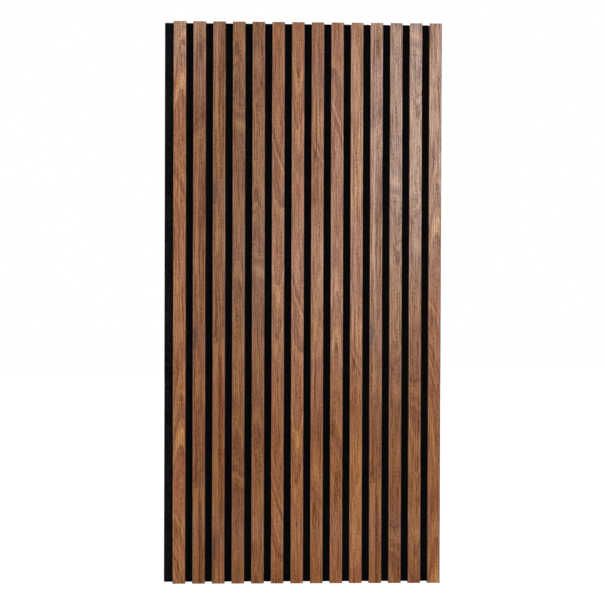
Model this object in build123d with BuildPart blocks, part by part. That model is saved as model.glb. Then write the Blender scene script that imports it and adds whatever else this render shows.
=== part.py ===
"""Slatted wood wall panel: upright veneered slats on a black felt backing board.

The slats lie flat on the felt with open grooves between them, and each one is held by a row of
staples that were driven from the wall side, through the felt, into the slat's back.

Frame: +Z is up and the slats run along it, +Y points into the wall and the show side faces -Y.
The origin is the centre of the felt's wall face. All sizes are in millimetres.
"""

import os

from build123d import *

# Felt board and slats
panel_height = 1200
felt_thickness = 9
felt_lip = 20  # bare felt beside the first slat, which becomes the groove to the next panel
slat_count = 14
slat_width = 27
slat_depth = 12
slat_gap = 15
slat_edge_radius = 0.8

# Staples
staples_per_slat = 5
staple_end_margin = 60  # from the panel's ends to the middle of the first and last staple
staple_crown = 10  # outside length, along the slat
staple_wire_width = 1.2
staple_wire_depth = 0.7
staple_sink = 0.5  # how far the crown lies below the felt's wall face
staple_bite = 6  # how far the legs reach into the slat
staple_clearance = 0.1  # between the wire and the slots it sits in

# Sizes that follow
slat_pitch = slat_width + slat_gap
slat_field_width = slat_count * slat_pitch - slat_gap
slat_field_x = felt_lip / 2  # the last slat ends flush with the felt
panel_width = felt_lip + slat_field_width
staple_spacing = (panel_height - 2 * staple_end_margin) / (staples_per_slat - 1)
staple_leg_spacing = staple_crown - staple_wire_depth
crown_seat_depth = staple_sink + staple_wire_depth
leg_length = felt_thickness + staple_bite - crown_seat_depth
slot_width = staple_wire_width + 2 * staple_clearance
leg_slot_length = staple_wire_depth + 2 * staple_clearance
crown_pocket_length = staple_crown + 2 * staple_clearance
slat_slot_depth = staple_bite + staple_clearance

# The felt's wall face, looked at from the wall and centred on the slats
wall_plane = Plane(origin=(slat_field_x, 0, 0), x_dir=(-1, 0, 0), z_dir=(0, 1, 0))

os.makedirs("parts", exist_ok=True)

# Felt board, with a pocket for each staple's crown and two through slots for its legs
with BuildPart() as felt_backing:
    with BuildSketch(Plane.XZ):
        Rectangle(panel_width, panel_height)
    extrude(amount=felt_thickness)
    with BuildSketch(wall_plane):
        with GridLocations(slat_pitch, staple_spacing, slat_count, staples_per_slat):
            Rectangle(slot_width, crown_pocket_length)
    extrude(amount=-crown_seat_depth, mode=Mode.SUBTRACT)
    with BuildSketch(wall_plane):
        with GridLocations(slat_pitch, staple_spacing, slat_count, staples_per_slat):
            with GridLocations(0, staple_leg_spacing, 1, 2):
                Rectangle(slot_width, leg_slot_length)
    extrude(amount=-felt_thickness, mode=Mode.SUBTRACT)

felt_backing.part.label = "felt_backing"
export_step(felt_backing.part, "parts/felt_backing.step")

# Slats, counted from the bare lip: eased front edges, square ends, blind slots behind
for slat_number in range(1, slat_count + 1):
    slat_x = slat_field_x + (slat_number - (slat_count + 1) / 2) * slat_pitch
    with BuildPart() as slat:
        with BuildSketch(Plane.XY.offset(-panel_height / 2)) as section:
            with Locations((slat_x, -felt_thickness - slat_depth / 2)):
                Rectangle(slat_width, slat_depth)
            fillet(section.vertices().group_by(Axis.Y)[0], slat_edge_radius)
        extrude(amount=panel_height)
        with BuildSketch(Plane(origin=(slat_x, -felt_thickness, 0), z_dir=(0, 1, 0), x_dir=(-1, 0, 0))):
            with GridLocations(0, staple_spacing, 1, staples_per_slat):
                with GridLocations(0, staple_leg_spacing, 1, 2):
                    Rectangle(slot_width, leg_slot_length)
        extrude(amount=-slat_slot_depth, mode=Mode.SUBTRACT)

    slat.part.label = f"slat_{slat_number:02d}"
    export_step(slat.part, f"parts/slat_{slat_number:02d}.step")

# Staples: square-bent wire, each crown sunk in the felt and both its legs in one slat
with BuildPart() as staples:
    with BuildSketch(wall_plane.offset(-staple_sink)):
        with GridLocations(slat_pitch, staple_spacing, slat_count, staples_per_slat):
            Rectangle(staple_wire_width, staple_crown)
    extrude(amount=-staple_wire_depth)
    with BuildSketch(wall_plane.offset(-crown_seat_depth)):
        with GridLocations(slat_pitch, staple_spacing, slat_count, staples_per_slat):
            with GridLocations(0, staple_leg_spacing, 1, 2):
                Rectangle(staple_wire_width, staple_wire_depth)
    extrude(amount=-leg_length)

staples.part.label = "staples"
export_step(staples.part, "parts/staples.step")
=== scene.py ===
"""Dresses the slatted wood wall panel: walnut-look slats, black felt board, staples and a white studio."""

import logging
import math
from dataclasses import dataclass, field
from enum import Enum
from typing import Any, Sequence, Union

import bpy
from mathutils import Matrix, Vector


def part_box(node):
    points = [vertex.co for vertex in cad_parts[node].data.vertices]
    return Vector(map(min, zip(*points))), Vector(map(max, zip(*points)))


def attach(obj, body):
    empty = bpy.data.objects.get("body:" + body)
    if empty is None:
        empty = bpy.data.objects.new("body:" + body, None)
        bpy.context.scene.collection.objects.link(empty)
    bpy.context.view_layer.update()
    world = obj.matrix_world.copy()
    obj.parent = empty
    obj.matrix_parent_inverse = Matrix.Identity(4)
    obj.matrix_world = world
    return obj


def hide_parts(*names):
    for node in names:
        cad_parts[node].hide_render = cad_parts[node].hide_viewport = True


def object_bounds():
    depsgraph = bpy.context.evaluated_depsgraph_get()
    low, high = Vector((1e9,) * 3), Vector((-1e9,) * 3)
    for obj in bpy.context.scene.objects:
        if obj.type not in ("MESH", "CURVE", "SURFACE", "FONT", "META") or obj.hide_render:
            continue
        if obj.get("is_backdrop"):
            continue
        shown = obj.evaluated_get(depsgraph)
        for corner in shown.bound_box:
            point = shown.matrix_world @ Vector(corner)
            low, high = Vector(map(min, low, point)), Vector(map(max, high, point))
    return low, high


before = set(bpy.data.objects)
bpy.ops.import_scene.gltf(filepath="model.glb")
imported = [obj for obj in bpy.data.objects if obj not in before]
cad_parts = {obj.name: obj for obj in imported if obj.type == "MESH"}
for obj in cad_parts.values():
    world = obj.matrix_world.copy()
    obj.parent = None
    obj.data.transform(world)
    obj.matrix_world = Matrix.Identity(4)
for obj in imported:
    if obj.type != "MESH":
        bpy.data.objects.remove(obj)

LOG = logging.getLogger("panel")
BODY = "root"
MM = 0.001
MID = 0.5  # noise lies around it, and a ramp's stop holds nought there
WHITE = (1.0, 1.0, 1.0)
SQUARE_ON = (0.7, 0.9)  # parts of a normal between which a face begins to count as facing an axis
Span = tuple[float, float]
Colour = tuple[float, float, float]
Place = tuple[float, float, float]
Piece = bpy.types.Object
Material = bpy.types.Material
Socket = bpy.types.NodeSocket


def linear(red: int, green: int, blue: int) -> Colour:
    """Turn a display colour into the linear colour that shaders take.

    Args:
        red: Red from 0 to 255.
        green: Green from 0 to 255.
        blue: Blue from 0 to 255.

    Returns:
        The same colour as linear values from 0 to 1.
    """
    def channel(value: int) -> float:
        """One channel from the display curve to a linear value."""
        share = value / 255
        return share / 12.92 if share <= 0.04045 else ((share + 0.055) / 1.055) ** 2.4

    return channel(red), channel(green), channel(blue)


class Value:
    """A number that varies over a surface; arithmetic on it adds Math nodes."""

    def __init__(self, sheet: "NodeSheet", socket: Socket) -> None:
        """Wrap an output socket of a node on the sheet."""
        self.sheet = sheet
        self.socket = socket

    def __add__(self, other: "Number") -> "Value":
        """Sum of the two."""
        return self.sheet.maths("ADD", self, other)

    __radd__ = __add__

    def __sub__(self, other: "Number") -> "Value":
        """This less the other."""
        return self.sheet.maths("SUBTRACT", self, other)

    def __rsub__(self, other: "Number") -> "Value":
        """The other less this."""
        return self.sheet.maths("SUBTRACT", other, self)

    def __mul__(self, other: "Number") -> "Value":
        """Product of the two."""
        return self.sheet.maths("MULTIPLY", self, other)

    __rmul__ = __mul__

    def __truediv__(self, other: "Number") -> "Value":
        """This over the other."""
        return self.sheet.maths("DIVIDE", self, other)

    def __neg__(self) -> "Value":
        """This with its sign turned."""
        return self.sheet.maths("MULTIPLY", self, -1.0)

    def __abs__(self) -> "Value":
        """Size without sign."""
        return self.sheet.maths("ABSOLUTE", self)

    def fraction(self) -> "Value":
        """Part above the whole number below."""
        return self.sheet.maths("FRACT", self)

    def sign(self) -> "Value":
        """Minus one, nought or one."""
        return self.sheet.maths("SIGN", self)

    def at_most(self, other: "Number") -> "Value":
        """The lesser of the two."""
        return self.sheet.maths("MINIMUM", self, other)

    def at_least(self, other: "Number") -> "Value":
        """The greater of the two."""
        return self.sheet.maths("MAXIMUM", self, other)

    def ramp(self, start: float, end: float) -> "Value":
        """Pass smoothly from 0 at start to 1 at end, which may lie below start.

        Args:
            start: Where the result is 0.
            end: Where the result is 1.

        Returns:
            The smooth step.
        """
        low, high, flip = (start, end, False) if start < end else (end, start, True)
        node = self.sheet.node("ShaderNodeMapRange", {"interpolation_type": "SMOOTHSTEP"}, {
            "Value": self, "From Min": low, "From Max": high,
            "To Min": float(flip), "To Max": float(not flip),
        })
        return Value(self.sheet, node.outputs["Result"])


Number = Union[float, int, Value]


@dataclass(frozen=True)
class Cells:
    """Soft noise over an object.

    Attributes:
        size: Size of its cells along X, Y and Z, in millimetres.
        detail: Finer layers within it.
        roughness: Weight of the finer layers.
    """

    size: Place
    detail: float = 3.0
    roughness: float = 0.5


@dataclass(frozen=True)
class Relief:
    """How far a height pushes the normal: its strength, and its depth in metres."""

    strength: float
    depth: float


class NodeSheet:
    """A node tree that is written through one node-making method."""

    def __init__(self, tree: bpy.types.NodeTree) -> None:
        """Start on an emptied tree."""
        self.tree = tree
        tree.nodes.clear()

    def node(
        self, kind: str, settings: dict[str, Any] | None = None, inputs: dict[Any, Any] | None = None
    ) -> bpy.types.Node:
        """Add a node, set it up and fill its sockets.

        Args:
            kind: The node's type.
            settings: Properties set before the sockets; "stops" holds a ramp's (place, colour) pairs.
            inputs: Values, sockets or wrapped values by socket name or number.

        Returns:
            The new node.
        """
        made = self.tree.nodes.new(kind)
        for name, setting in (settings or {}).items():
            if name == "stops":
                self._fill_ramp(made.color_ramp, setting)
            elif name == "interpolation":
                made.color_ramp.interpolation = setting
            else:
                setattr(made, name, setting)
        for key, given in (inputs or {}).items():
            socket = made.inputs[key]
            if isinstance(given, Value):
                self.tree.links.new(given.socket, socket)
            elif isinstance(given, Socket):
                self.tree.links.new(given, socket)
            elif isinstance(given, tuple) and len(given) == 3 and socket.type == "RGBA":
                socket.default_value = (*given, 1.0)
            else:
                socket.default_value = given
        return made

    @staticmethod
    def _fill_ramp(ramp: bpy.types.ColorRamp, stops: Sequence[tuple[float, Sequence[float]]]) -> None:
        """Give a colour ramp its stops, which must be in order."""
        while len(ramp.elements) > 1:
            ramp.elements.remove(ramp.elements[-1])
        ramp.elements[0].position = stops[0][0]
        for place, _ in stops[1:]:
            ramp.elements.new(place)
        for element, (_, colour) in zip(ramp.elements, stops):
            element.color = colour

    def maths(self, operation: str, *operands: Number) -> Value:
        """Result of one Math node's operation on its inputs in order."""
        made = self.node("ShaderNodeMath", {"operation": operation}, dict(enumerate(operands)))
        return Value(self, made.outputs[0])

    def place(self) -> tuple[Value, Value, Value]:
        """Object coordinates, in metres, as three values."""
        coordinates = self.node("ShaderNodeTexCoord")
        parts = self.node("ShaderNodeSeparateXYZ", None, {0: coordinates.outputs["Object"]})
        return tuple(Value(self, parts.outputs[axis]) for axis in "XYZ")

    def vector(self, x: Number, y: Number, z: Number = 0.0) -> Socket:
        """A vector from three numbers."""
        return self.node("ShaderNodeCombineXYZ", None, {0: x, 1: y, 2: z}).outputs[0]

    def noise(self, vector: Socket, detail: float, roughness: float = 0.5) -> Value:
        """Soft noise around 0.5, one cell to a unit of the vector.

        Args:
            vector: Where to read it.
            detail: Finer layers added.
            roughness: Weight of the finer layers.

        Returns:
            The noise.
        """
        inputs = {"Vector": vector, "Scale": 1.0, "Detail": detail, "Roughness": roughness}
        made = self.node("ShaderNodeTexNoise", {"noise_dimensions": "3D"}, inputs)
        return Value(self, made.outputs["Fac"])

    def cells(self, cells: Cells) -> Value:
        """Soft noise around 0.5 over the object."""
        spot = self.vector(*(part / (size * MM) for part, size in zip(self.place(), cells.size)))
        return self.noise(spot, cells.detail, cells.roughness)

    def noise_along(self, track: Value, detail: float) -> Value:
        """Soft noise around 0.5 along one number."""
        inputs = {"W": track, "Scale": 1.0, "Detail": detail}
        made = self.node("ShaderNodeTexNoise", {"noise_dimensions": "1D"}, inputs)
        return Value(self, made.outputs["Fac"])

    def blend(self, factor: Number, first: Any, second: Any, way: str = "MIX") -> Socket:
        """Mix two colours.

        Args:
            factor: How much of the second.
            first: A colour or a colour socket.
            second: A colour or a colour socket.
            way: The Mix node's blend type.

        Returns:
            The mixed colour's socket.
        """
        settings = {"data_type": "RGBA", "blend_type": way}
        return self.node("ShaderNodeMix", settings, {0: factor, 6: first, 7: second}).outputs[2]

    def bump(self, height: Value, relief: Relief) -> Socket:
        """A normal pushed by a height."""
        pushed = {"Height": height, "Strength": relief.strength, "Distance": relief.depth}
        return self.node("ShaderNodeBump", None, pushed).outputs["Normal"]

    def facing(self) -> tuple[Value, Value, Value]:
        """The surface normal as three values."""
        geometry = self.node("ShaderNodeNewGeometry")
        parts = self.node("ShaderNodeSeparateXYZ", None, {0: geometry.outputs["Normal"]})
        return tuple(Value(self, parts.outputs[axis]) for axis in "XYZ")

    def surface(self, inputs: dict[str, Any]) -> None:
        """End the sheet in a Principled shader with these inputs."""
        shader = self.node("ShaderNodeBsdfPrincipled", None, inputs)
        self.node("ShaderNodeOutputMaterial", None, {"Surface": shader.outputs[0]})


def new_material(name: str) -> tuple[Material, NodeSheet]:
    """Make an empty node material.

    Args:
        name: The material's name.

    Returns:
        The material and the sheet to write its nodes on.
    """
    material = bpy.data.materials.new(name)
    material.use_nodes = True
    return material, NodeSheet(material.node_tree)


def dress(piece: Piece, material: Material) -> None:
    """Put one material on a whole piece."""
    piece.data.materials.clear()
    piece.data.materials.append(material)


class Tone(Enum):
    """Colours that the veneer passes through."""

    HONEY = linear(163, 111, 64)
    GOLD = linear(155, 103, 58)
    TAN = linear(147, 95, 53)
    ORANGE = linear(141, 89, 48)
    ROSE = linear(138, 84, 50)
    BROWN = linear(130, 78, 44)
    UMBER = linear(117, 67, 36)
    SLATE = linear(66, 47, 36)


@dataclass(frozen=True)
class Bend:
    """How the grain lines run at a place down the leaf, in millimetres.

    Attributes:
        at: The place.
        bow: How much lower a line lies at both edges than in the middle; below 0 it is a bowl.
        slant: How much lower it lies at the right edge than at the left.
        stripe: Weight of straight upright stripes, from 0 to 1.
        curl: How far the lines waver, from 0 to 1.
    """

    at: float
    bow: float
    slant: float
    stripe: float = 0.0
    curl: float = 0.1


@dataclass(frozen=True)
class Mark:
    """A streak that stands apart from the grain lines, in millimetres.

    Attributes:
        at: Its middle, down the leaf.
        across: Its middle, right of the centre line.
        length: Half its length.
        breadth: Half its breadth.
        depth: How dark it is; below 0 it is pale.
        lean: How far it moves right for each millimetre down.
        blur: Share of it over which it fades.
    """

    at: float
    across: float
    length: float
    breadth: float
    depth: float
    lean: float = 0.0
    blur: float = 1.0


@dataclass(frozen=True)
class VeneerLeaf:
    """One printed leaf of veneer, whose figure comes again every repeat.

    Attributes:
        seed: Sets its noise apart from the other leaves'.
        bends: The run of its grain lines from the top down; the first is at 0.
        bands: Where each tone's grain lines cross its middle, down from the top; the first is at 0.
        marks: Its single streaks.
        stains: Its grey patches.
    """

    seed: float
    bends: tuple[Bend, ...]
    bands: dict[Tone, tuple[float, ...]]
    marks: tuple[Mark, ...]
    stains: tuple[Mark, ...] = ()


HONEY, GOLD, TAN, ORANGE, ROSE, BROWN, UMBER, SLATE = Tone
REPEAT = 757.0  # millimetres after which a leaf's figure comes again
BOW_SPAN = 300.0  # bows that a ramp's stop can hold, from lowest to highest, in millimetres
SLANT_SPAN = 500.0  # the same for slants

FEATHERED = VeneerLeaf(
    seed=11.0,
    bends=(
        Bend(0, 40, -85, stripe=0.5), Bend(45, 54, -108, stripe=0.3), Bend(100, 50, -95, stripe=0.2),
        Bend(150, 37, -40), Bend(200, 34, -36, stripe=0.3), Bend(250, 24, -20, stripe=0.2, curl=0.3),
        Bend(300, 12, 58), Bend(330, 10, 64), Bend(380, 8, 84), Bend(450, 4, 104), Bend(510, 2, 140),
        Bend(570, 0, 178, stripe=0.2), Bend(640, 8, 110, stripe=0.6), Bend(690, -4, 30, stripe=0.7),
        Bend(722, -34, 0, stripe=0.3), Bend(745, -34, -6, stripe=0.2),
    ),
    bands={
        HONEY: (140, 312),
        GOLD: (49, 118, 149, 361),
        TAN: (0, 44, 392, 427, 452, 492, 600),
        ORANGE: (100, 302),
        ROSE: (185, 245, 374, 466, 520),
        BROWN: (54, 84, 153, 321, 347, 404, 440, 506, 743),
        UMBER: (418, 478),
    },
    marks=(
        Mark(46, 6, 7, 5, 0.22), Mark(112, -6.5, 11, 1.8, 0.22, lean=-0.1), Mark(128, 5, 18, 4, -0.14),
        Mark(172, -8, 18, 3.5, -0.14, lean=-0.15), Mark(250, 8, 11, 4, 0.18),
        Mark(525, 9, 20, 2, -0.15, lean=0.1), Mark(575, -3, 35, 2.5, -0.16, lean=0.08),
        Mark(600, 6, 45, 1.8, 0.24, lean=0.07), Mark(640, 10, 16, 1.3, 0.25), Mark(635, -4, 22, 4, -0.10),
        Mark(724, -4, 32, 4, 0.20, blur=0.6), Mark(4, -4, 6, 4, 0.18),
    ),
)
PARTED = VeneerLeaf(
    seed=23.0,
    bends=(
        Bend(0, 20, 10, stripe=0.7), Bend(50, 50, 16, stripe=0.4), Bend(100, 50, 10, stripe=0.4),
        Bend(150, 10, -20, stripe=0.6), Bend(195, 6, -44, stripe=0.4), Bend(245, 0, -10, stripe=0.8),
        Bend(290, 0, 0, stripe=1.0), Bend(640, 0, 0, stripe=1.0), Bend(700, 12, 10, stripe=0.6),
    ),
    bands={
        TAN: (0, 240),
        ORANGE: (40, 262, 480, 625),
        ROSE: (62, 92, 128, 172, 196, 216, 320, 705),
        BROWN: (52, 76, 110, 186, 228, 648),
        UMBER: (207,),
    },
    marks=(
        Mark(18, -5, 32, 5, -0.16), Mark(60, 2, 24, 2.2, 0.20), Mark(66, -8, 12, 2.2, 0.20),
        Mark(122, 3.5, 44, 2.4, -0.40), Mark(138, 2, 15, 1.2, 0.36), Mark(103, 8.5, 10, 1.3, 0.26),
        Mark(188, -5, 12, 2.0, 0.32, lean=-0.2), Mark(214, -7.5, 18, 1.4, 0.30, lean=-0.12),
        Mark(240, -2.5, 14, 1.4, -0.24, lean=-0.15), Mark(272, -3, 46, 2.6, -0.30),
        Mark(285, 4, 26, 2.0, 0.30), Mark(284, 8.5, 36, 1.6, -0.18),
        Mark(470, 7, 185, 7.0, 0.24, blur=0.3), Mark(430, 1.6, 80, 1.5, 0.16),
        Mark(430, -5, 120, 3.6, -0.26), Mark(500, -2.5, 70, 2.0, -0.16), Mark(590, -2.2, 62, 1.5, -0.30),
        Mark(580, -8, 60, 2.2, 0.14), Mark(725, -6, 30, 3.5, -0.14),
    ),
    stains=(Mark(678, -10, 26, 7.5, 0.60),),
)
CLOUDED = VeneerLeaf(
    seed=37.0,
    bends=(
        Bend(0, 40, 70, stripe=0.3), Bend(55, 48, 71), Bend(120, 38, 70, stripe=0.2, curl=0.2),
        Bend(165, 10, 40, curl=0.4), Bend(200, -2, 12, curl=0.4), Bend(235, 6, 4, curl=0.5),
        Bend(290, 14, -20, curl=0.5), Bend(335, 20, 0, stripe=0.3, curl=0.3),
        Bend(400, 24, 10, stripe=0.6), Bend(480, 30, 20, stripe=0.3, curl=0.3), Bend(525, 40, 36),
        Bend(560, 44, 44, curl=0.3), Bend(615, 40, 20, curl=0.5), Bend(650, 42, 16),
        Bend(735, 36, 50, stripe=0.4, curl=0.2),
    ),
    bands={
        GOLD: (45,),
        TAN: (0, 38, 112, 186, 217, 400, 526, 606, 637),
        ORANGE: (51, 76, 209, 227, 540),
        ROSE: (268, 330, 510, 584),
        BROWN: (57, 65, 130, 178, 193, 246, 306, 490, 556, 626),
        UMBER: (200, 235),
    },
    marks=(
        Mark(54, -5, 8, 5, 0.06), Mark(140, -8, 16, 2.2, 0.24), Mark(165, 3, 26, 4, 0.16),
        Mark(148, 9, 10, 1.5, -0.16), Mark(172, -7, 16, 1.4, -0.24, lean=0.2), Mark(275, 5, 9, 2, 0.24),
        Mark(315, -6, 10, 4, 0.14), Mark(425, -11.5, 30, 1.8, 0.26), Mark(500, 8, 12, 2, 0.22),
        Mark(532, 6, 14, 1.6, -0.18, lean=0.15), Mark(568, 4, 18, 2.8, 0.26, lean=0.12),
        Mark(564, -7, 5, 1.8, 0.34, lean=0.5), Mark(606, -2, 8, 3.2, -0.16, lean=-0.3),
        Mark(622, -2.5, 6, 1.4, 0.18, lean=0.5), Mark(628, 1.5, 6, 1.4, 0.18, lean=-0.5),
        Mark(729, -9.5, 4.5, 1.6, 0.40, lean=-0.4), Mark(737, -8, 5, 1.8, 0.42, lean=0.7),
        Mark(750, -7, 7, 3, -0.18),
    ),
)
BOWLED = VeneerLeaf(
    seed=53.0,
    bends=(
        Bend(0, -20, 55, stripe=0.5, curl=0.2), Bend(50, -4, 110, stripe=0.6),
        Bend(130, 0, 130, stripe=0.5), Bend(195, 0, 100), Bend(270, -4, 90), Bend(330, -8, 80),
        Bend(385, -17, 56), Bend(430, -22, 22, stripe=0.3), Bend(470, -36, 12, stripe=0.2),
        Bend(530, -84, 20), Bend(565, -96, 20), Bend(620, -80, 4), Bend(675, -66, -10),
        Bend(715, -40, 20, stripe=0.5),
    ),
    bands={
        GOLD: (588,),
        TAN: (212, 337, 394, 567, 680),
        ORANGE: (14, 83, 252, 290, 405, 472, 612),
        ROSE: (64, 110, 180, 221, 546),
        BROWN: (0, 96, 160, 204, 240, 326, 347, 461, 655),
        UMBER: (277, 380, 561, 673),
    },
    marks=(
        Mark(6, -1, 8, 4, 0.24), Mark(30, 6.5, 26, 1.2, 0.24), Mark(26, 4.5, 22, 1.2, -0.18),
        Mark(128, 4.5, 24, 1.2, 0.24, lean=0.05), Mark(112, 5.5, 26, 1.2, -0.24, lean=0.1),
        Mark(585, 1, 16, 4, -0.16), Mark(671, -2, 6, 4, 0.20), Mark(694, 4, 12, 1.1, 0.30),
        Mark(735, 4, 12, 2.2, 0.26), Mark(704, -2, 16, 6, -0.10),
    ),
)
QUIET = VeneerLeaf(
    seed=71.0,
    bends=(
        Bend(0, 0, 0, stripe=1.0), Bend(190, 0, 0, stripe=0.9), Bend(235, 0, 40, stripe=0.4, curl=0.2),
        Bend(270, -8, 84, curl=0.4), Bend(300, -8, 50, stripe=0.3, curl=0.6), Bend(340, 0, 0, stripe=1.0),
        Bend(530, 0, -50, stripe=0.7), Bend(600, 0, -110, stripe=0.5), Bend(680, 0, -70, stripe=0.6),
        Bend(740, 0, 0, stripe=0.9),
    ),
    bands={
        GOLD: (560, 650),
        TAN: (204, 240, 259, 276, 480, 602, 705),
        ORANGE: (180, 310, 430, 535, 580),
        ROSE: (0, 724),
        BROWN: (120, 251, 268, 286, 298),
    },
    marks=(
        Mark(215, 5, 20, 4, -0.16), Mark(284, -5, 18, 5, 0.30), Mark(262, 2, 14, 1.0, 0.22, lean=0.5),
        Mark(269, 4, 14, 1.0, 0.24, lean=0.5), Mark(258, 5, 12, 1.0, -0.22, lean=0.5),
        Mark(308, -2, 5, 3, 0.18), Mark(335, 9.5, 40, 1.3, -0.26), Mark(355, 6.5, 45, 1.2, 0.20),
        Mark(438, 4, 14, 1.6, -0.20), Mark(567, 8, 16, 1.4, -0.26, lean=-0.05),
        Mark(582, 1.5, 10, 2, -0.18, lean=-0.1), Mark(676, 3.5, 38, 1.6, -0.20),
        Mark(640, -8, 60, 2, 0.14),
    ),
)


@dataclass(frozen=True)
class SlatCut:
    """How a slat's veneer was cut.

    Attributes:
        leaf: The leaf it shows.
        start: The place on the leaf, in millimetres, at the slat's top.
        turned: Whether the leaf is turned end for end.
        light: What its tones are multiplied by; partly the slat's own tone, partly painted light that
            brightens or darkens the whole slat for how the lamps fell on it.
        gloss: What the lacquer's gloss is multiplied by.
    """

    leaf: VeneerLeaf
    start: float = 0.0
    turned: bool = False
    light: float = 1.0
    gloss: float = 1.0


# Each slat's light is partly its own tone and partly painted light for how brightly the lamps fell on it.
SLAT_CUTS = (
    SlatCut(FEATHERED, light=1.20, gloss=1.3),
    SlatCut(PARTED, light=0.90),
    SlatCut(PARTED, start=310, light=0.90),
    SlatCut(CLOUDED, light=0.85),
    SlatCut(CLOUDED, start=-312, light=0.85),
    SlatCut(BOWLED, light=1.10),
    SlatCut(BOWLED, start=-310, light=1.15),
    SlatCut(QUIET, gloss=0.9),
    SlatCut(BOWLED, start=493, turned=True, light=1.10),
    SlatCut(QUIET, start=-446, light=1.10),
    SlatCut(PARTED, start=10, light=0.95, gloss=1.2),
    SlatCut(CLOUDED, start=559, turned=True, light=0.90, gloss=1.2),
    SlatCut(CLOUDED, start=245, turned=True, light=0.95, gloss=1.2),
    SlatCut(FEATHERED, start=453, light=1.05, gloss=0.9),
)


@dataclass(frozen=True)
class Layer:
    """A layer of soft noise in the veneer.

    Attributes:
        across: Size of its cells across the slat, in millimetres.
        down: Their size down the slat.
        weight: How far it moves what it is added to.
        detail: Finer layers within it.
        shift: Sets it apart from the other layers.
    """

    across: float
    down: float
    weight: float
    detail: float
    shift: float


@dataclass(frozen=True)
class Lines:
    """Grain lines: millimetres to a cell, their weight, and the finer layers within them."""

    cell: float
    weight: float
    detail: float


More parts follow.
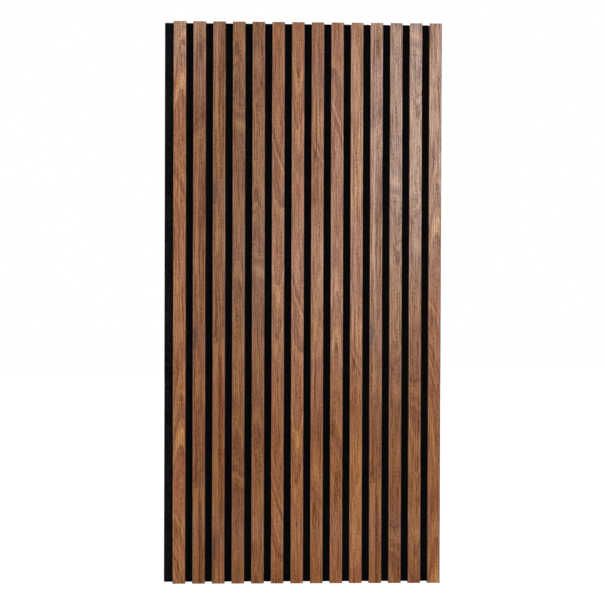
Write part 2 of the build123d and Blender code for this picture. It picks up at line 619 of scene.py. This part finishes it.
@dataclass(frozen=True)
class WalnutFinish:
    """Printed walnut veneer with a satin lacquer, wrapped round a fibreboard slat.

    Attributes:
        deep: What the veneer's tone is multiplied by where its grain is darkest.
        bright: The same where its grain is palest.
        wander: Slow waver of the grain lines, in millimetres; a leaf's curl adds to it.
        curl: What a full curl adds to the waver.
        tear: Ragged edges of the grain lines, in millimetres.
        flat_lines: Grain lines where they lie flat.
        steep_lines: Grain lines where they run steeply.
        steep: Slants between which the lines pass from flat to steep.
        broad: Broad upright stripes.
        streak: Narrow upright streaks.
        fibre: Short fibres.
        fleck: Fine flecks.
        pores: Open pores, which are dark and sunk.
        pore_edge: Noise between which a pore begins and is full.
        groove: Long grooves, which are dark and sunk too.
        groove_edge: Noise between which a groove begins and is full.
        sunk: Relief of the pores and grooves.
        lift: Shade that makes up for pores and grooves.
        mark_waver: Share of the slow waver that single streaks follow.
        rim: Millimetres from the side faces between which the painted shade on the eased edge passes from
            dark to plain.
        painted_edge_shade: Painted shade: what the veneer is multiplied by on the eased edges and on the
            side faces, which lie in the gaps between the slats.
        painted_glint: How strongly a painted highlight shows beside the eased edge, a pale line standing for
            light caught there.
        painted_glint_reach: How far from the side faces the painted highlight ends, in millimetres.
        glint_colour: Colour of the painted highlight.
        bare: Roughness of the wood on the palest grain.
        open_grain: Roughness that the darkest grain adds.
        bare_gloss: Specular level of the wood.
        thin: Weight of the lacquer on the darkest grain.
        full: Weight of the lacquer on the palest grain.
        satin: Roughness of the lacquer.
        skin: Millimetres between which the veneer gives way to the board at the cut ends.
        board: Colour of the fibreboard at the cut ends.
        board_shade: What that colour is multiplied by in its dark crumbs.
        crumbs: The crumbs.
        crumb_edge: Noise between which a crumb turns from dark to pale.
        board_rough: Roughness of the cut ends.
    """

    deep: Colour = (0.52, 0.40, 0.25)
    bright: Colour = (1.52, 1.64, 1.80)
    wander: Layer = Layer(12.0, 40.0, 10.0, 3.0, 0.0)
    curl: float = 70.0
    tear: Layer = Layer(1.3, 60.0, 12.0, 3.0, 6.0)
    flat_lines: Lines = Lines(cell=5.0, weight=1.0, detail=2.0)
    steep_lines: Lines = Lines(cell=15.0, weight=1.1, detail=3.0)
    steep: Span = (25.0, 100.0)
    broad: Layer = Layer(6.0, 260.0, 0.9, 1.0, 3.0)
    streak: Layer = Layer(2.0, 140.0, 2.0, 2.0, 1.0)
    fibre: Layer = Layer(1.7, 36.0, 1.5, 2.0, 2.0)
    fleck: Layer = Layer(1.8, 5.0, 1.3, 1.0, 4.0)
    pores: Layer = Layer(0.5, 6.0, 0.07, 1.0, 5.0)
    pore_edge: Span = (0.60, 0.72)
    groove: Layer = Layer(1.9, 55.0, 0.13, 2.0, 7.0)
    groove_edge: Span = (0.52, 0.62)
    sunk: Relief = Relief(0.2, 0.05 * MM)
    lift: float = 0.05
    mark_waver: float = 0.6
    rim: Span = (0.4, 1.7)
    painted_edge_shade: Colour = (0.40, 0.38, 0.37)
    painted_glint: float = 0.10
    painted_glint_reach: float = 3.2
    glint_colour: Colour = linear(200, 194, 190)
    bare: float = 0.35
    open_grain: float = 0.3
    bare_gloss: float = 0.08
    thin: float = 0.1
    full: float = 1.1
    satin: float = 0.3
    skin: Span = (0.4, 0.6)
    board: Colour = linear(168, 132, 98)
    board_shade: float = 0.62
    crumbs: Cells = Cells((0.6, 0.6, 0.6))
    crumb_edge: Span = (0.3, 0.7)
    board_rough: float = 0.9

    def material(self, name: str, cut: SlatCut, low: Vector, high: Vector) -> Material:
        """Make one slat's veneer.

        Args:
            name: The material's name.
            cut: The slat's place on its leaf.
            low: The slat's lowest corner.
            high: The slat's highest corner.

        Returns:
            The material.
        """
        material, sheet = new_material(name)
        leaf = cut.leaf
        x, y, z = sheet.place()
        turn = -1.0 if cut.turned else 1.0
        half_width = (high.x - low.x) / 2 / MM
        off_centre = (x - (low.x + high.x) / 2) / MM
        from_front = (y - low.y) / MM
        from_side = half_width - abs(off_centre)
        across = (off_centre + off_centre.sign() * from_front) * turn
        down = (high.z - z) * (turn / MM) + cut.start
        on_leaf = (down / REPEAT).fraction() * REPEAT

        def noise(layer: Layer) -> Value:
            """A layer's noise on this leaf, around 0.5."""
            spot = sheet.vector(across / layer.across, down / layer.down, leaf.seed + layer.shift)
            return sheet.noise(spot, layer.detail)

        def sway(layer: Layer) -> Value:
            """A layer's noise on this leaf, around 0 and weighted."""
            return (noise(layer) - MID) * layer.weight

        bow, slant, stripe, curl = self._read_bends(sheet, leaf, on_leaf)
        reach = across / half_width
        wander = sway(self.wander)
        waver = wander * (curl * (self.curl / self.wander.weight) + 1.0) + sway(self.tear)
        line = down - bow * reach * reach - slant * reach / 2 + waver
        tone = self._read_bands(sheet, leaf, line, cut.light)
        pores = noise(self.pores).ramp(*self.pore_edge)
        groove = noise(self.groove).ramp(*self.groove_edge)
        streaks = sway(self.streak) + sway(self.fibre) + sway(self.fleck) + self.lift
        lines = self._lines(sheet, leaf, line, slant)
        spot = sheet.vector(on_leaf, across + wander * self.mark_waver)
        shade = MID + lines * (1 - stripe) + sway(self.broad) * stripe + streaks
        shade = shade - pores * self.pores.weight - groove * self.groove.weight
        shade = (shade - self._marks(sheet, leaf.marks, spot)).at_least(0.0).at_most(1.0)

        dark = sheet.blend(1.0, tone, self.deep, "MULTIPLY")
        pale = sheet.blend(1.0, tone, self.bright, "MULTIPLY")
        veneer = sheet.blend(shade, dark, pale)
        if leaf.stains:
            veneer = sheet.blend(self._marks(sheet, leaf.stains, spot), veneer, SLATE.value)
        # Painted highlight: a pale line beside the eased edge stands for light caught there.
        painted_glint = from_side.ramp(*self.rim) * from_side.ramp(self.painted_glint_reach, self.rim[1])
        veneer = sheet.blend(painted_glint * self.painted_glint, veneer, self.glint_colour)
        # Painted shade: the veneer is darkened on the eased edges and the side faces, which lie in the gaps
        # between the slats.
        edge = sheet.blend(1.0, veneer, self.painted_edge_shade, "MULTIPLY")
        veneer = sheet.blend(from_side.ramp(*self.rim), edge, veneer)

        rough = self.bare + (1 - shade) * self.open_grain
        lacquer = (shade * (self.full - self.thin) + self.thin) * cut.gloss
        end = self._sawn_end(sheet, from_side.at_most(from_front))
        sheet.surface({
            "Base Color": sheet.blend(end, veneer, self._crumbs(sheet)),
            "Roughness": rough * (1 - end) + end * self.board_rough,
            "Specular IOR Level": self.bare_gloss,
            "Coat Weight": lacquer * (1 - end),
            "Coat Roughness": self.satin,
            "Normal": sheet.bump(-pores - groove, self.sunk),
        })
        return material

    @staticmethod
    def _read_bends(sheet: NodeSheet, leaf: VeneerLeaf, on_leaf: Value) -> tuple[Value, Value, Value, Value]:
        """Read the run of the grain lines at a place down the leaf.

        Args:
            sheet: The material's sheet.
            leaf: The leaf.
            on_leaf: The place in millimetres, from 0 to one repeat.

        Returns:
            Bow, slant, stripe and curl there.
        """
        stops = []
        for bend in leaf.bends:
            bow_share = bend.bow / BOW_SPAN + MID
            slant_share = bend.slant / SLANT_SPAN + MID
            stops.append((bend.at / REPEAT, (bow_share, slant_share, bend.stripe, bend.curl)))
        stops.append((1.0, stops[0][1]))
        settings = {"interpolation": "LINEAR", "stops": stops}
        node = sheet.node("ShaderNodeValToRGB", settings, {"Fac": on_leaf / REPEAT})
        parts = sheet.node("ShaderNodeSeparateColor", None, {0: node.outputs["Color"]})
        bow = (Value(sheet, parts.outputs[0]) - MID) * BOW_SPAN
        slant = (Value(sheet, parts.outputs[1]) - MID) * SLANT_SPAN
        return bow, slant, Value(sheet, parts.outputs[2]), Value(sheet, node.outputs["Alpha"])

    @staticmethod
    def _read_bands(sheet: NodeSheet, leaf: VeneerLeaf, line: Value, light: float) -> Socket:
        """The tone of a grain line, named by where it crosses the middle of the leaf.

        Args:
            sheet: The material's sheet.
            leaf: The leaf.
            line: Where the line crosses the middle, in millimetres.
            light: What the tones are multiplied by, partly the slat's own tone and partly painted light.

        Returns:
            The tone's socket.
        """
        stops = []
        for tone, places in leaf.bands.items():
            red, green, blue = (part * light for part in tone.value)
            stops.extend((place / REPEAT, (red, green, blue, 1.0)) for place in places)
        stops.sort()
        stops.append((1.0, stops[0][1]))
        settings = {"interpolation": "LINEAR", "stops": stops}
        node = sheet.node("ShaderNodeValToRGB", settings, {"Fac": (line / REPEAT).fraction()})
        return node.outputs["Color"]

    def _lines(self, sheet: NodeSheet, leaf: VeneerLeaf, line: Value, slant: Value) -> Value:
        """Shade of the grain lines around 0: close where they lie flat, wider where they run steeply.

        Args:
            sheet: The material's sheet.
            leaf: The leaf.
            line: Where the line crosses the middle, in millimetres.
            slant: How much lower it lies at the right edge than at the left.

        Returns:
            The shade.
        """
        def drawn(lines: Lines) -> Value:
            """One kind of line on this leaf, around 0 and weighted."""
            return (sheet.noise_along(line / lines.cell + leaf.seed, lines.detail) - MID) * lines.weight

        steep = abs(slant).ramp(*self.steep)
        return drawn(self.flat_lines) * (1 - steep) + drawn(self.steep_lines) * steep

    @staticmethod
    def _marks(sheet: NodeSheet, marks: Sequence[Mark], spot: Socket) -> Value:
        """Add up streaks, dark ones above 0.

        Args:
            sheet: The material's sheet.
            marks: The streaks.
            spot: The place down the leaf and across it, in millimetres.

        Returns:
            The sum of their depths.
        """
        total: Number = 0.0
        for mark in marks:
            turned = sheet.node("ShaderNodeMapping", {"vector_type": "TEXTURE"}, {
                "Vector": spot,
                "Location": (mark.at, mark.across, 0.0),
                "Rotation": (0.0, 0.0, math.atan(mark.lean)),
                "Scale": (mark.length, mark.breadth, 1.0),
            })
            parts = sheet.node("ShaderNodeSeparateXYZ", None, {0: turned.outputs[0]})
            along = Value(sheet, parts.outputs[0])
            aside = Value(sheet, parts.outputs[1])
            spread = sheet.maths("MULTIPLY_ADD", along * along, along * along, aside * aside)
            total = sheet.maths("MULTIPLY_ADD", spread.ramp(1.0, 1.0 - mark.blur), mark.depth, total)
        return total

    def _sawn_end(self, sheet: NodeSheet, inward: Value) -> Value:
        """1 where a sawn end shows the fibreboard, by millimetres from the nearest veneered face."""
        _, _, up = sheet.facing()
        return abs(up).ramp(*SQUARE_ON) * inward.ramp(*self.skin)

    def _crumbs(self, sheet: NodeSheet) -> Socket:
        """The fibreboard's colour, with darker crumbs."""
        dark = tuple(part * self.board_shade for part in self.board)
        return sheet.blend(sheet.cells(self.crumbs).ramp(*self.crumb_edge), dark, self.board)


@dataclass(frozen=True)
class FeltFinish:
    """Pressed black polyester felt.

    Attributes:
        ground: Colour between the fibres.
        lint: Colour of the paler fibres.
        lip_light: Painted light: how much more of the paler fibres shows on the bare lip's front, which
            stands lit while the gaps between the slats lie in shade.
        lip_light_blur: Length over which that painted light fades towards the first slat, in metres.
        clump: Clumps of fibres.
        strand: Fibres that lie across.
        cross: Fibres that lie upright.
        fibre_edge: Noise between which a fibre begins and is full.
        matted: Broad patches with more or fewer of the paler fibres.
        matted_edge: Noise between which a patch turns from few to many.
        sparse: Share of the paler fibres where they are fewest.
        clump_height: Share of the clumps in the height of the pile; fibres make up the rest.
        pile: Relief of the pile.
        rough: Roughness between the clumps.
        clump_rough: Roughness that the clumps add.
        gloss: Specular level.
        sheen: Weight of the sheen.
        sheen_rough: Roughness of the sheen.
    """

    ground: Colour = linear(4, 4, 5)
    lint: Colour = linear(44, 44, 46)
    lip_light: float = 4.0
    lip_light_blur: float = 2 * MM
    clump: Cells = Cells((4.0, 4.0, 4.0), detail=4.0, roughness=0.65)
    strand: Cells = Cells((1.2, 1.2, 0.5))
    cross: Cells = Cells((0.5, 1.2, 1.3))
    fibre_edge: Span = (0.55, 0.75)
    matted: Cells = Cells((30.0, 30.0, 30.0), detail=4.0, roughness=0.6)
    matted_edge: Span = (0.35, 0.65)
    sparse: float = 0.3
    clump_height: float = 0.6
    pile: Relief = Relief(0.6, 0.6 * MM)
    rough: float = 0.88
    clump_rough: float = 0.12
    gloss: float = 0.05
    sheen: float = 0.01
    sheen_rough: float = 0.5

    def material(self, lip_end: float) -> Material:
        """Make the felt: matted dark fibres with a few paler ones, and more of them on the bare lip's front
        as painted light.

        Args:
            lip_end: Where the bare lip ends along X, in metres.

        Returns:
            The material.
        """
        material, sheet = new_material("felt_black")
        x, _, _ = sheet.place()
        _, towards_wall, _ = sheet.facing()
        clump = sheet.cells(self.clump)
        fibres = sheet.cells(self.strand).at_least(sheet.cells(self.cross)).ramp(*self.fibre_edge)
        matted = sheet.cells(self.matted).ramp(*self.matted_edge) * (1 - self.sparse) + self.sparse
        # Painted light: the bare lip's front gets more of the paler fibres, so it reads lit beside the
        # shaded gaps.
        lip = x.ramp(lip_end, lip_end - self.lip_light_blur) * (-towards_wall).ramp(*SQUARE_ON)
        pile = clump * self.clump_height + fibres * (1 - self.clump_height)
        pale = fibres * clump * matted * (lip * self.lip_light + 1)
        sheet.surface({
            "Base Color": sheet.blend(pale, self.ground, self.lint),
            "Roughness": self.rough + clump * self.clump_rough,
            "Specular IOR Level": self.gloss,
            "Sheen Weight": self.sheen,
            "Sheen Roughness": self.sheen_rough,
            "Normal": sheet.bump(pile, self.pile),
        })
        return material


@dataclass(frozen=True)
class WireFinish:
    """Galvanised staple wire.

    Attributes:
        zinc: Colour of the bright zinc.
        dull: Colour of the duller patches.
        patch: The duller patches.
        patch_edge: Noise between which a patch begins and is full.
        drawn: Lines left by drawing the wire.
        drawn_relief: Relief of those lines.
        rough: Roughness of the bright zinc.
        patch_rough: Roughness that the patches add.
    """

    zinc: Colour = linear(176, 178, 180)
    dull: Colour = linear(128, 130, 132)
    patch: Cells = Cells((2.0, 2.0, 2.0))
    patch_edge: Span = (0.35, 0.7)
    drawn: Cells = Cells((0.1, 1.5, 3.0), detail=2.0)
    drawn_relief: Relief = Relief(0.2, 0.05 * MM)
    rough: float = 0.28
    patch_rough: float = 0.25

    def material(self) -> Material:
        """The wire: drawn lines and duller patches of zinc."""
        material, sheet = new_material("staple_zinc")
        patch = sheet.cells(self.patch)
        sheet.surface({
            "Base Color": sheet.blend(patch.ramp(*self.patch_edge), self.zinc, self.dull),
            "Metallic": 1.0,
            "Roughness": self.rough + patch * self.patch_rough,
            "Normal": sheet.bump(sheet.cells(self.drawn), self.drawn_relief),
        })
        return material


@dataclass
class SlatRow:
    """The veneered slats, each on its own CAD node.

    Attributes:
        cuts: How each slat's veneer was cut, counted from the bare lip.
        finish: The veneer.
    """

    cuts: tuple[SlatCut, ...] = SLAT_CUTS
    finish: WalnutFinish = field(default_factory=WalnutFinish)

    def dress(self) -> None:
        """Give every slat its veneer."""
        for number, cut in enumerate(self.cuts, start=1):
            name = f"slat_{number:02d}"
            low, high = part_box(name)
            dress(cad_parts[name], self.finish.material(f"walnut_{number:02d}", cut, low, high))
            LOG.info("%s dressed", name)


@dataclass
class FeltBoard:
    """The felt backing board."""

    finish: FeltFinish = field(default_factory=FeltFinish)

    def dress(self) -> None:
        """Give the board its felt."""
        first_slat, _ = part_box("slat_01")
        dress(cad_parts["felt_backing"], self.finish.material(first_slat.x))
        LOG.info("felt_backing dressed")


@dataclass
class StapleSet:
    """The wire staples that hold the slats, with bent shoulders and eased wire edges; sizes are in metres.

    Attributes:
        columns: Staples side by side, one to a slat.
        rows: Staples down each slat.
        row_margin: From the panel's ends to the middles of the first and last rows.
        wire_depth: Wire in the plane of the bends.
        wire_width: Wire across the slat.
        bend: Radius of the bends along the wire's middle.
        easing: Radius of the wire's own edges.
        bend_steps: Points along each bend.
        easing_steps: Points along each of the wire's edges.
        finish: The wire's finish.
    """

    columns: int = len(SLAT_CUTS)
    rows: int = 5
    row_margin: float = 60 * MM
    wire_depth: float = 0.7 * MM
    wire_width: float = 1.2 * MM
    bend: float = 0.45 * MM
    easing: float = 0.16 * MM
    bend_steps: int = 5
    easing_steps: int = 3
    finish: WireFinish = field(default_factory=WireFinish)

    def build(self) -> None:
        """Bend one staple, repeat it over the panel's back and let it stand for the CAD staples."""
        low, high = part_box("staples")
        first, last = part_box("slat_01"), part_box(f"slat_{self.columns:02d}")
        end_margin = ((first[1].z - first[0].z) - (high.z - low.z)) / 2
        crown = 2 * (self.row_margin - end_margin)
        half = (crown - self.wire_depth) / 2
        back = high.y - self.wire_depth / 2
        bent = [(0.0, low.y, -half), (0.0, back, -half), (0.0, back, half), (0.0, low.y, half)]
        mesh = bpy.data.meshes.new("staple_path")
        mesh.from_pydata(bent, [(0, 1), (1, 2), (2, 3)], [])
        piece = bpy.data.objects.new("wire_staples", mesh)
        bpy.context.scene.collection.objects.link(piece)
        material = self.finish.material()
        middle = Vector(((low.x + high.x) / 2, 0.0, (low.z + high.z) / 2))
        self._repeat(piece, (last[0].x - first[0].x, high.z - low.z - crown), middle, material)
        dress(piece, material)
        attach(piece, BODY)
        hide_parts("staples")
        LOG.info("staples built")

    def _repeat(self, piece: Piece, spread: Span, middle: Vector, material: Material) -> None:
        """Sweep the wire along the bent path and set it on a grid, then keep the plain mesh.

        Args:
            piece: The object that holds the path.
            spread: Width and height of the grid.
            middle: Middle of the grid.
            material: The wire's finish.
        """
        tree = bpy.data.node_groups.new("staple_grid", "GeometryNodeTree")
        ports = tree.interface
        ports.new_socket("Geometry", in_out="INPUT", socket_type="NodeSocketGeometry")
        ports.new_socket("Geometry", in_out="OUTPUT", socket_type="NodeSocketGeometry")
        sizes = {
            "Columns": self.columns,
            "Rows": self.rows,
            "Field Width": spread[0],
            "Field Height": spread[1],
            "Wire Width": self.wire_width,
            "Wire Depth": self.wire_depth,
            "Bend": self.bend,
            "Easing": self.easing,
        }
        names = {}
        for name, size in sizes.items():
            kind = "NodeSocketInt" if isinstance(size, int) else "NodeSocketFloat"
            names[name] = ports.new_socket(name, in_out="INPUT", socket_type=kind).identifier
        sheet = NodeSheet(tree)
        given = sheet.node("NodeGroupInput").outputs
        path = sheet.node("GeometryNodeMeshToCurve", None, {"Mesh": given["Geometry"]})
        section = {"Width": given["Wire Depth"], "Height": given["Wire Width"]}
        outline = sheet.node("GeometryNodeCurvePrimitiveQuadrilateral", None, section)

        def rounded(curve: bpy.types.Node, radius: str, steps: int) -> Socket:
            """A curve with its corners rounded by one of the tree's inputs."""
            inputs = {"Curve": curve.outputs[0], "Count": steps, "Radius": given[radius]}
            inputs["Limit Radius"] = True
            return sheet.node("GeometryNodeFilletCurve", {"mode": "POLY"}, inputs).outputs[0]

        wire = sheet.node("GeometryNodeCurveToMesh", None, {
            "Curve": rounded(path, "Bend", self.bend_steps),
            "Profile Curve": rounded(outline, "Easing", self.easing_steps),
            "Fill Caps": True,
        })
        grid = sheet.node("GeometryNodeMeshGrid", None, {
            "Size X": given["Field Width"], "Size Y": given["Field Height"],
            "Vertices X": given["Columns"], "Vertices Y": given["Rows"],
        })
        quarter = (math.radians(90.0), 0.0, 0.0)
        turned = {"Geometry": grid.outputs[0], "Translation": middle, "Rotation": quarter}
        upright = sheet.node("GeometryNodeTransform", None, turned)
        placed = {"Points": upright.outputs[0], "Instance": wire.outputs[0]}
        copies = sheet.node("GeometryNodeInstanceOnPoints", None, placed)
        real = sheet.node("GeometryNodeRealizeInstances", None, {0: copies.outputs[0]})
        coated = {"Geometry": real.outputs[0], "Material": material}
        finished = sheet.node("GeometryNodeSetMaterial", None, coated)
        sheet.node("NodeGroupOutput", None, {0: finished.outputs[0]})
        modifier = piece.modifiers.new("staple_grid", "NODES")
        modifier.node_group = tree
        for name, size in sizes.items():
            modifier[names[name]] = size
        graph = bpy.context.evaluated_depsgraph_get()
        plain = bpy.data.meshes.new_from_object(piece.evaluated_get(graph), depsgraph=graph)
        piece.modifiers.clear()
        piece.data = plain


@dataclass(frozen=True)
class Lamp:
    """A soft box.

    Attributes:
        name: Its name.
        stand: Where it hangs, in metres.
        aim: What it points at.
        size: Its width and height in metres.
        watts: Its power.
    """

    name: str
    stand: Place
    aim: Place
    size: Span
    watts: float

    def hang(self) -> None:
        """Put the lamp in the scene."""
        light = bpy.data.lights.new(self.name, "AREA")
        light.shape = "RECTANGLE"
        light.size, light.size_y = self.size
        light.energy = self.watts
        lamp = bpy.data.objects.new(self.name, light)
        lamp.visible_camera = False
        bpy.context.scene.collection.objects.link(lamp)
        turn = (Vector(self.aim) - Vector(self.stand)).to_track_quat("-Z", "Y")
        lamp.matrix_world = Matrix.Translation(self.stand) @ turn.to_matrix().to_4x4()


LAMPS = (
    Lamp("key", (1.35, -5.0, 1.5), (0.15, 0.0, 0.15), (0.9, 2.1), 117.0),
    Lamp("front", (0.0, -5.0, 0.45), (0.0, 0.0, 0.0), (0.5, 0.5), 13.0),
    Lamp("middle", (0.14, -0.9, -0.02), (0.14, 0.0, -0.02), (0.35, 0.35), 0.75),
    Lamp("left", (-0.75, -0.8, -0.04), (-0.1, 0.0, -0.06), (0.3, 0.3), 0.8),
    Lamp("right", (0.8, -0.8, -0.04), (0.1, 0.0, -0.06), (0.3, 0.3), 0.7),
    Lamp("corner", (-0.42, -1.0, 0.9), (-0.26, 0.0, 0.55), (0.2, 0.2), 1.27),
    Lamp("low", (0.05, -0.7, -0.2), (0.05, 0.0, -0.2), (0.25, 0.25), 0.10),
    Lamp("back", (-0.9, 4.0, 1.6), (0.0, 0.0, 0.0), (1.5, 1.5), 150.0),
    Lamp("foot", (0.03, -0.25, -0.55), (0.03, 0.0, -0.56), (0.6, 0.06), 0.11),
)


@dataclass
class Studio:
    """White studio: floor, world, lamps and camera.

    Attributes:
        image_side: Side of the square picture in pixels.
        focal: Focal length in pixels of that picture.
        sensor: Width of the sensor in millimetres.
        eye: Where the camera stands, in metres.
        pitch: Tilt up in degrees.
        roll: Turn about the line of sight in degrees.
        yaw: Turn to the left in degrees.
        ambient: Strength of the world as light.
        floor_reach: How far the floor reaches each way, in metres.
        floor_paint: Colour of the floor.
        floor_glow: Strength of the floor's own glow, which keeps it white to the camera.
        floor_share: How much of what the camera sees of the floor is its glow.
        wall_place: Where the wall stands along Y, in metres.
        wall_reach: How far it reaches each way.
        wall_glow: Strength of its glow.
    """

    image_side: float = 605.0
    focal: float = 784.54
    sensor: float = 36.0
    eye: Place = (-0.0312, -1.6982, 0.0112)
    pitch: float = -0.3209
    roll: float = -0.1788
    yaw: float = -1.057
    ambient: float = 0.2
    floor_reach: float = 12.0
    floor_paint: Colour = (0.85, 0.85, 0.85)
    floor_glow: float = 1.27
    floor_share: float = 0.75
    wall_place: float = -6.0
    wall_reach: float = 5.0
    wall_glow: float = 0.08

    def build(self) -> None:
        """Set up everything round the panel."""
        bpy.context.scene.view_settings.view_transform = "Standard"
        self._camera()
        self._world()
        self._floor()
        self._wall()
        for lamp in LAMPS:
            lamp.hang()

    def _camera(self) -> None:
        """Stand the camera where the photograph was taken from."""
        lens = bpy.data.cameras.new("camera")
        lens.sensor_width = self.sensor
        lens.lens = self.focal / self.image_side * lens.sensor_width
        camera = bpy.data.objects.new("camera", lens)
        bpy.context.scene.collection.objects.link(camera)
        turn = (
            Matrix.Rotation(math.radians(self.yaw), 4, "Z")
            @ Matrix.Rotation(math.radians(self.pitch), 4, "X")
            @ Matrix.Rotation(math.radians(self.roll), 4, "Y")
            @ Matrix.Rotation(math.radians(90.0), 4, "X")
        )
        camera.matrix_world = Matrix.Translation(self.eye) @ turn
        bpy.context.scene.camera = camera

    def _world(self) -> None:
        """White to the camera and in reflections, and softer as light."""
        world = bpy.data.worlds.new("studio")
        world.use_nodes = True
        bpy.context.scene.world = world
        sheet = NodeSheet(world.node_tree)
        path = sheet.node("ShaderNodeLightPath")
        seen = Value(sheet, path.outputs["Is Camera Ray"])
        seen = seen.at_least(Value(sheet, path.outputs["Is Glossy Ray"]))
        seen = seen.at_least(Value(sheet, path.outputs["Is Transmission Ray"]))
        strength = seen * (1 - self.ambient) + self.ambient
        light = sheet.node("ShaderNodeBackground", None, {"Color": WHITE, "Strength": strength})
        sheet.node("ShaderNodeOutputWorld", None, {"Surface": light.outputs[0]})

    def _floor(self) -> None:
        """A wide pale floor under the panel, which keeps a soft shadow."""
        low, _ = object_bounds()
        far, level = self.floor_reach, low[2]
        outline = [(-far, -far, level), (far, -far, level), (far, far, level), (-far, far, level)]
        material, sheet = new_material("floor_white")
        path = sheet.node("ShaderNodeLightPath")
        seen = Value(sheet, path.outputs["Is Camera Ray"]) * self.floor_share
        paint = sheet.node("ShaderNodeBsdfDiffuse", None, {"Color": self.floor_paint})
        glow = sheet.node("ShaderNodeEmission", None, {"Color": WHITE, "Strength": self.floor_glow})
        mixed = sheet.node("ShaderNodeMixShader", None, {0: seen, 1: paint.outputs[0], 2: glow.outputs[0]})
        sheet.node("ShaderNodeOutputMaterial", None, {"Surface": mixed.outputs[0]})
        floor = self._sheet("floor", outline, material)
        floor.visible_glossy = False
        floor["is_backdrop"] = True

    def _wall(self) -> None:
        """A grey wall far in front of the panel, which only shows in the lacquer's reflections."""
        far, place = self.wall_reach, self.wall_place
        outline = [(-far, place, far), (far, place, far), (far, place, -far), (-far, place, -far)]
        material, sheet = new_material("wall_grey")
        glow = sheet.node("ShaderNodeEmission", None, {"Color": WHITE, "Strength": self.wall_glow})
        sheet.node("ShaderNodeOutputMaterial", None, {"Surface": glow.outputs[0]})
        wall = self._sheet("wall", outline, material)
        wall.visible_camera = False
        wall.visible_diffuse = False
        wall.visible_shadow = False
        wall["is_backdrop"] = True

    @staticmethod
    def _sheet(name: str, outline: list[Place], material: Material) -> Piece:
        """Make a flat sheet.

        Args:
            name: Its name.
            outline: Its four corners in turn.
            material: Its finish.

        Returns:
            The new object.
        """
        mesh = bpy.data.meshes.new(name)
        mesh.from_pydata(outline, [], [range(len(outline))])
        flat = bpy.data.objects.new(name, mesh)
        bpy.context.scene.collection.objects.link(flat)
        dress(flat, material)
        return flat


def main() -> None:
    """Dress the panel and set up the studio."""
    logging.basicConfig(level=logging.INFO, format="%(message)s")
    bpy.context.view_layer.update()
    SlatRow().dress()
    FeltBoard().dress()
    StapleSet().build()
    Studio().build()


if __name__ == "__main__":
    main()
